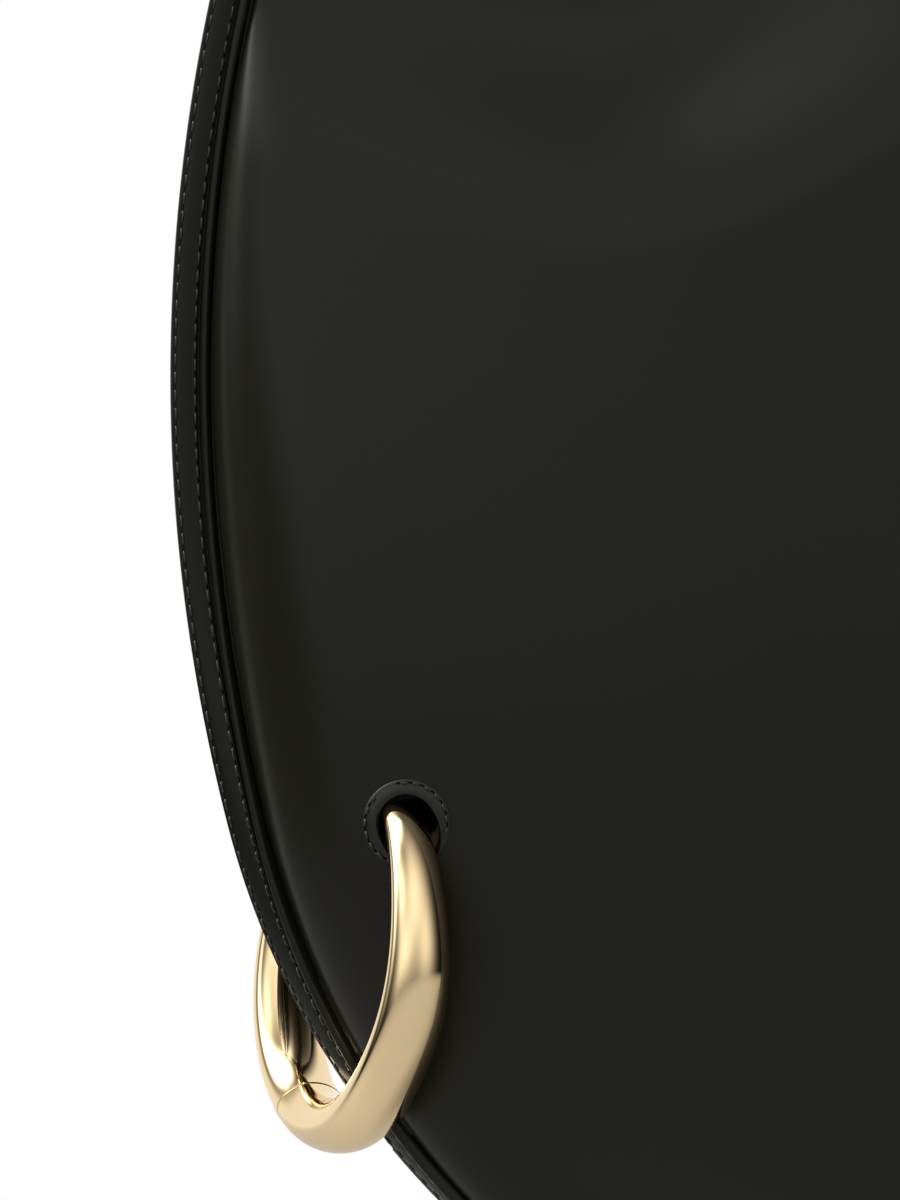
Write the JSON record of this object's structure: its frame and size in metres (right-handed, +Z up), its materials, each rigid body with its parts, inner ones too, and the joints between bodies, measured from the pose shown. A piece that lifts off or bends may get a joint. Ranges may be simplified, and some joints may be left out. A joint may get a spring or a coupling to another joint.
{
  "type": "leather shoulder bag",
  "caption": "Black leather shoulder bag with a stitched edge, an open snap mouth, a strap in its own plane and a tapered gold ring through a sewn eyelet.",
  "frame": {"origin": "middle of the whole object's base, on the surface that it stands on", "axes": "+Z up to the strap, -Y out of the front panel, +X to the right seen from the front"},
  "size_m": [0.3398, 0.0638, 0.5822],
  "materials": {
    "black_calf": "smooth, soft satin",
    "edge_calf": "smooth satin, stitched",
    "facing_calf": "matt, stitched",
    "base_calf": "smooth, soft satin",
    "strap_calf": "smooth, soft satin",
    "core_webbing": "woven webbing",
    "lining_suede": "matt microsuede",
    "interlining_felt": "pressed felt",
    "base_board_fibre": "matt fibreboard",
    "pale_gold": "polished pale gold plate",
    "hinge_steel": "plated steel"
  },
  "bodies": {
    "bag": {"front_panel": "black_calf", "back_panel": "black_calf", "front_edge_strip": "edge_calf", "back_edge_strip": "edge_calf", "front_edge_piping": "edge_calf", "back_edge_piping": "edge_calf", "base_gusset": "base_calf", "base_board": "base_board_fibre", "front_eyelet_facing": "facing_calf", "back_eyelet_facing": "facing_calf", "eyelet_sleeve": "facing_calf", "front_mouth_facing": "facing_calf", "back_mouth_facing": "facing_calf", "front_interlining": "interlining_felt", "back_interlining": "interlining_felt", "front_lining": "lining_suede", "back_lining": "lining_suede", "slip_pocket": "lining_suede", "pocket_trim": "facing_calf", "snap_socket": "pale_gold", "snap_stud": "pale_gold", "strap_front_layer": "strap_calf", "strap_back_layer": "strap_calf", "strap_core": "core_webbing"},
    "ring": {"ring_body": "pale_gold", "ring_hinge_pin": "hinge_steel"},
    "gate": {"ring_gate": "pale_gold"}
  },
  "joints": [
    {"name": "ring_turn", "type": "hinge", "parent": "bag", "child": "ring", "pos_m": [-0.13987, -0.00122, 0.08191], "axis": [0.9215, 0.3778, -0.0903], "range_deg": [-14, 5]},
    {"name": "gate_hinge", "type": "hinge", "parent": "ring", "child": "gate", "pos_m": [-0.14883, 0.02341, 0.09359], "axis": [0.9215, 0.3778, -0.0903], "range_deg": [0, 28]}
  ]
}
